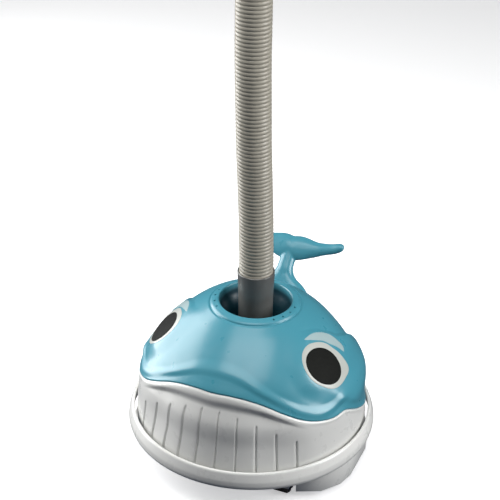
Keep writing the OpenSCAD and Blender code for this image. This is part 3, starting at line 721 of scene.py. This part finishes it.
def make_brow(name, side, node):
    steps, ribs = 40, 12

    def place(across, up):
        direction = BROW_FROM + (BROW_TO - BROW_FROM) * up
        low, high = along(BROW_INNER, direction), along(BROW_OUTER, direction)
        turn = across * ribs
        if turn <= ribs - 2:
            share = turn / (ribs - 2)
            return eye_point(low + (high - low) * share, direction, 0.25 + 0.25 * bell(2 * share - 1), side)
        share = ribs - turn
        if turn <= ribs - 1:
            return eye_point(high, direction, -1.2, side)
        return eye_point(low, direction, -1.2 if share > 0 else 0.25, side)

    obj = wrapped_grid(name, ribs, steps, place)
    cap_ends(obj)
    smooth_shading(obj, 50)
    return finish_piece(obj, "body", "brow_pale", BROW_PALE, node)


for side, word in ((1, "left"), (-1, "right")):
    eye_patch("eye_surround_" + word, lambda d: along(EYE_OUTLINE, d), 0.45, side, "eye_white", EYE_WHITE,
              "eye_white_" + word)
    eye_patch("pupil_" + word, pupil_radius, 0.8, side, "eye_dark", EYE_DARK, "eye_pupil_" + word)
    make_brow("brow_paint_" + word, side, "brow_" + word)


# ---- Jaw ----

GROOVE_ANGLES = [10 * (k + 0.5) for k in range(5)]
GROOVE_TOPS = [76, 71, 63, 51, 38]
GROOVE_HALF = 1.75
GROOVE_DEPTH = 2.2
JAW_LOW = 53.0
COVE = 8.0


def jaw_recess(a, z):
    """The grille is set back under the lip, below a slope that narrows away from the nose."""
    f = fold(a)
    below = lip_height(a) - z
    slope = 7 + 9 * smooth((50 - f) / 40)
    cove = COVE * smooth((54 - f) / 26) * smooth((below - 5) / slope)
    return cove * smooth((z - SEAM + 20) / 60)


def groove_cut(a, z):
    f = fold(a)
    cut = 0.0
    for angle, top in zip(GROOVE_ANGLES, GROOVE_TOPS):
        away = abs(f - angle) * math.pi / 180 * (FOOT_R - 4)
        if away < GROOVE_HALF * 1.4:
            wall = smooth((GROOVE_HALF * 1.2 - away) / (GROOVE_HALF * 0.9))
            end = smooth((SEAM + top - z) / 4)
            cut = max(cut, GROOVE_DEPTH * wall * end)
    return cut


def jaw_angles():
    """Angles of the jaw's columns, close together at the grooves."""
    angles = []
    a = -180.0
    while a < 180:
        angles.append(a)
        near = min(abs(fold(a + 0.3) - g) for g in GROOVE_ANGLES)
        a += 0.22 if near < 1.4 else (1.0 if fold(a) < 56 else 2.0)
    angles.append(180.0)
    return angles


def make_jaw():
    angles = jaw_angles()
    rows = 76

    def place(across, up):
        a = angles[round(across * (len(angles) - 1))]
        top = lip_height(a)
        z = JAW_LOW + (top - JAW_LOW) * up
        out = 0.6 * bell((top - z - 2.6) / 4.5) - 1.4 * smooth(1 - (top - z) / 1.6)
        return around(a, dome_radius(z) - jaw_recess(a, z) - groove_cut(a, z) + out, z)

    obj = wrapped_grid("jaw_body", len(angles) - 1, rows, place)
    thickened(obj, 2.6 * MM)
    smooth_shading(obj, 50)
    finish_piece(obj, "body", "white_plastic", WHITE_PLASTIC, "jaw")


make_jaw()


# ---- Bumper ring ----

RING_IN = FOOT_R + 3.5
RING_R = FOOT_R + 13
RING_LOW = SEAM - 24


def make_ring():
    outline = rounded([
        (RING_IN, SEAM - 2), (RING_IN + 0.4, SEAM + 0.6), (RING_IN + 3.2, SEAM + 0.4), (RING_IN + 4.8, SEAM - 1.6),
        (RING_R - 0.8, SEAM - 12), (RING_R, RING_LOW + 5), (RING_R - 1.6, RING_LOW), (RING_IN + 4, RING_LOW),
        (RING_IN + 1.5, SEAM - 8),
    ], 2.0)
    obj = lathed("bumper", in_metres(outline), (0, 0), 256)
    finish_piece(obj, "body", "white_plastic", WHITE_PLASTIC, "bumper_ring")


make_ring()


# ---- Swivel cuff and hose ----

CUFF_TOP = CREST + 46.9
CUFF_R = 26.0
HOSE_R = 22.35
HOSE_ROUTE = [
    (0, 10, 247), (0, 10, 275), (0, 10, 300), (-0.5, 9.5, 330), (-1, 9, 360), (-2, 8.5, 390),
    (-3, 8, 420), (-4, 7, 450), (-5, 6.5, 480), (-5.5, 6, 510), (-6, 5.5, 540), (-6.5, 5, 570),
    (-7, 5, 600), (-7, 5, 630), (-7, 5, 660), (-7, 5, 690), (-7, 5, 714),
]


def make_cuff():
    low = CREST - 50 - 17.6 - 16
    socket = HOSE_ROUTE[0][2]
    outline = rounded([
        (20, low), (TUBE_R, low), (TUBE_R, CREST - 30), (TUBE_R + 0.4, CREST + 6), (CUFF_R, CUFF_TOP - 0.6),
        (CUFF_R - 0.9, CUFF_TOP), (HOSE_R + 1.9, CUFF_TOP), (HOSE_R + 0.4, CUFF_TOP - 7),
        (HOSE_R + 0.25, socket), (20, socket),
    ], 1.2)
    obj = lathed("swivel_cuff", in_metres(outline), (0, AXIS_Y * MM), 128)
    finish_piece(obj, "swivel", "cuff_grey", CUFF_GREY, "swivel_tube")


make_cuff()

END_GRIP = 24
END_CUFF = 62
END_BORE = 19.3
RIB_PITCH = 5.4
RIB_ROWS = 8


def route_point(z):
    return (along([(p[2], p[0]) for p in HOSE_ROUTE], z), along([(p[2], p[1]) for p in HOSE_ROUTE], z), z)


def rib_radius(travel):
    """Radius of the ribbed hose: round ribs with a narrow valley between them."""
    phase = (travel / RIB_PITCH) % 1
    crown = abs(math.sin(math.pi * phase)) ** 0.6
    return HOSE_R - 1.9 * (1 - crown)


def make_end_cuff():
    """The cuff on the hose's far end: a collar with raised bands, open right through."""
    x, y, z = HOSE_ROUTE[-1]
    low = z - END_GRIP
    outline = [(HOSE_R + 0.15, low), (HOSE_R + 4.5, low), (HOSE_R + 4.5, low + 6), (HOSE_R + 3, low + 7)]
    for band in range(3):
        foot = low + 14 + 7 * band
        outline += [(HOSE_R + 3, foot), (HOSE_R + 3.9, foot + 1), (HOSE_R + 3.9, foot + 3), (HOSE_R + 3, foot + 4)]
    outline += [
        (HOSE_R + 3, low + END_CUFF), (END_BORE, low + END_CUFF), (END_BORE, z + 0.3), (HOSE_R + 0.15, z + 0.3),
    ]
    obj = lathed("end_cuff", in_metres(rounded(outline, 0.8)), (x * MM, y * MM), 96)
    return finish_piece(obj, "swivel", "black_plastic", BLACK_PLASTIC, "hose_end_cuff")


def make_hose():
    low, high = HOSE_ROUTE[0][2], HOSE_ROUTE[-1][2]
    rows = round((high - low) / RIB_PITCH * RIB_ROWS)

    def place(across, up):
        z = low + (high - low) * up
        x, y, _ = route_point(z)
        r = rib_radius(z - low)
        turn = 2 * math.pi * across
        return ((x + r * math.cos(turn)) * MM, (y + r * math.sin(turn)) * MM, z * MM)

    obj = wrapped_grid("ribbed_hose", 48, rows, place)
    thickened(obj, 1.4 * MM)
    smooth_shading(obj, 80)
    finish_piece(obj, "swivel", "hose_plastic", HOSE_PLASTIC, "hose")
    path = in_metres([route_point(low + (high - low) * k / 60) for k in range(61)])
    length = sum((Vector(path[k + 1]) - Vector(path[k])).length for k in range(60))
    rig.cord(obj, exit=path[0], length=round(length, 4), diameter=2 * HOSE_R * MM, far_end="connector",
            stiffness="stiff", lay="taut", path=path, with_pieces=[make_end_cuff()])


make_hose()


# ---- Tail ----

# The stalk's sections from the shell's back up to the flukes: y, z, half width, half depth
STALK = [
    (92, 186, 60, 14), (98, 195, 50, 14), (106, 204, 40.5, 13), (111, 210.5, 31, 12), (114, 215.5, 21.5, 11),
    (118, 221, 15.2, 10.2), (122, 227, 12.2, 9.6), (128, 233, 11.6, 9.2), (136, 241, 11, 9), (142, 248, 9, 8.5),
]
# One fluke's sections outwards: x, y, z, half chord, half thickness
FLUKE = [
    (-4, 145, 250, 16, 9.5), (6, 145.5, 250, 18.5, 10), (16, 146.5, 250, 18.5, 9.5), (28, 148, 250.5, 15, 8.5),
    (39, 149, 251.5, 11.7, 7.6), (51, 150, 254.5, 9.4, 6.8), (62, 150, 257.5, 8.4, 6.4), (70, 150, 260.5, 8, 6.2),
    (76, 150, 262.5, 6.4, 5.4), (79.4, 150, 263.5, 3.6, 3.2), (80.6, 150, 264, 0.4, 0.4),
]
FLUKE_LEAN = math.radians(42)


def section(sections, t):
    """The values of one section at share t along a list of them."""
    rows = list(zip(*sections))
    last = len(sections) - 1
    return [along(list(enumerate(row)), t * last) for row in rows]


def stalk_place(across, up):
    y, z, wide, deep = section(STALK, up)
    turn = 2 * math.pi * across
    back = deep * 0.85 * math.sin(turn)
    down = deep * 0.5 * math.sin(turn)
    return (wide * math.cos(turn) * MM, (y + back) * MM, (z - down) * MM)


def fluke_place(side):
    def place(across, up):
        x, y, z, chord, thick = section(FLUKE, up)
        turn = 2 * math.pi * across
        c, s = chord * math.cos(turn), thick * math.sin(turn)
        lean_y = c * math.cos(FLUKE_LEAN) - s * math.sin(FLUKE_LEAN)
        lean_z = c * math.sin(FLUKE_LEAN) + s * math.cos(FLUKE_LEAN)
        return (side * x * MM, (y + lean_y) * MM, (z + lean_z) * MM)
    return place


def make_tail():
    parts = [wrapped_grid("tail_fin", 40, 40, stalk_place)]
    for side in (-1, 1):
        parts.append(wrapped_grid("fluke", 32, 60, fluke_place(side)))
    for part in parts:
        cap_ends(part)
    bpy.ops.object.select_all(action="DESELECT")
    for part in parts:
        part.select_set(True)
    bpy.context.view_layer.objects.active = parts[0]
    bpy.ops.object.join()
    obj = parts[0]
    melt = obj.modifiers.new("one skin", "REMESH")
    melt.mode = "VOXEL"
    melt.voxel_size = 1.1 * MM
    ease = obj.modifiers.new("eased", "SMOOTH")
    ease.factor = 0.5
    ease.iterations = 14
    apply_modifiers(obj)
    smooth_shading(obj, 80)
    finish_piece(obj, "body", "shell_blue", BLUE, "tail")


make_tail()


# ---- Pods, shoes and the underside ----

EASED = {
    "pod_left": 1.2, "pod_right": 1.2, "shoe_left": 0.8, "shoe_right": 0.8, "base_pan": 0.6,
    "intake_throat": 0.6, "frame_left": 0.7, "frame_right": 0.7, "front_flap": 0.6, "rear_flap": 0.6,
}
node_slot = {entry["node"]: entry["material_slot"] for entry in frame["record"]["subparts"]}
for node, width in EASED.items():
    eased_copy(node, width * MM, MATERIALS[node_slot[node]], node_slot[node])

for node, obj in frame["nodes"].items():
    if obj.hide_render:
        continue
    obj.data.materials.clear()
    obj.data.materials.append(MATERIALS[node_slot[node]])


# ---- Floor and light ----

MIDDLE = (0, 0, 0.15)             # where the lights aim
LIGHT_REACH = 1.8


def pale_backing(name, glow):
    """A matt near-white that glows a little, so it stays pale away from the lights."""
    material = moulded(name, (0.9, 0.9, 0.9), (0.88, 0.88, 0.88), roughness=0.9, bump=0.0)
    shader = material.node_tree.nodes["Principled BSDF"]
    shader.inputs["Emission Color"].default_value = (1, 1, 1, 1)
    shader.inputs["Emission Strength"].default_value = glow
    return material


def add_floor():
    bpy.ops.object.select_all(action="DESELECT")
    bpy.ops.mesh.primitive_plane_add(size=12, location=(0, 0, 0))
    floor = bpy.context.active_object
    floor.name = "floor"
    floor.data.materials.append(pale_backing("floor_white", 0.45))
    bpy.ops.object.select_all(action="DESELECT")
    bpy.ops.mesh.primitive_uv_sphere_add(segments=48, ring_count=24, radius=5.8, location=(0, 0, 0))
    dome = bpy.context.active_object
    dome.name = "backdrop"
    dome.data.materials.append(pale_backing("backdrop_white", 0.8))
    for stage in (floor, dome):
        stage.visible_glossy = False
        stage.visible_diffuse = False
        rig.stage(stage)
    dome.visible_shadow = False


def softbox(name, azimuth, elevation, size, power):
    """A studio light at an azimuth from the nose, aimed at the object's middle."""
    azimuth, elevation = math.radians(azimuth), math.radians(elevation)
    level = math.cos(elevation)
    way = Vector((level * math.sin(azimuth), -level * math.cos(azimuth), math.sin(elevation)))
    data = bpy.data.lights.new(name, "AREA")
    data.shape = "RECTANGLE"
    data.size, data.size_y = size
    data.energy = power
    light = bpy.data.objects.new(name, data)
    light.location = Vector(MIDDLE) + LIGHT_REACH * way
    light.rotation_euler = (-way).to_track_quat("-Z", "Y").to_euler()
    scene.collection.objects.link(light)


def add_world():
    world = bpy.data.worlds.new("studio")
    scene.world = world
    world.use_nodes = True
    nodes, links = world.node_tree.nodes, world.node_tree.links
    where = nodes.new("ShaderNodeTexCoord")
    split = nodes.new("ShaderNodeSeparateXYZ")
    ramp = nodes.new("ShaderNodeValToRGB")
    remap = nodes.new("ShaderNodeMapRange")
    remap.inputs["From Min"].default_value = -1
    links.new(where.outputs["Generated"], split.inputs["Vector"])
    links.new(split.outputs["Z"], remap.inputs["Value"])
    links.new(remap.outputs["Result"], ramp.inputs["Fac"])
    links.new(ramp.outputs["Color"], nodes["Background"].inputs["Color"])
    ramp.color_ramp.elements[0].position = 0.35
    ramp.color_ramp.elements[0].color = (0.05, 0.06, 0.085, 1)
    ramp.color_ramp.elements[1].position = 0.85
    ramp.color_ramp.elements[1].color = (0.08, 0.083, 0.088, 1)


add_floor()
add_world()
softbox("left_box", -92, 18, (1.5, 1.9), 58)
softbox("right_box", 98, 26, (0.9, 1.2), 28)
softbox("front_box", 5, 76, (1.3, 1.0), 16)
scene.view_settings.view_transform = "Standard"

visual_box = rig.bounds()
with open("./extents.json", "w") as out:
    json.dump({"cad": [list(c) for c in cad_box], "visual": [list(c) for c in visual_box]}, out)
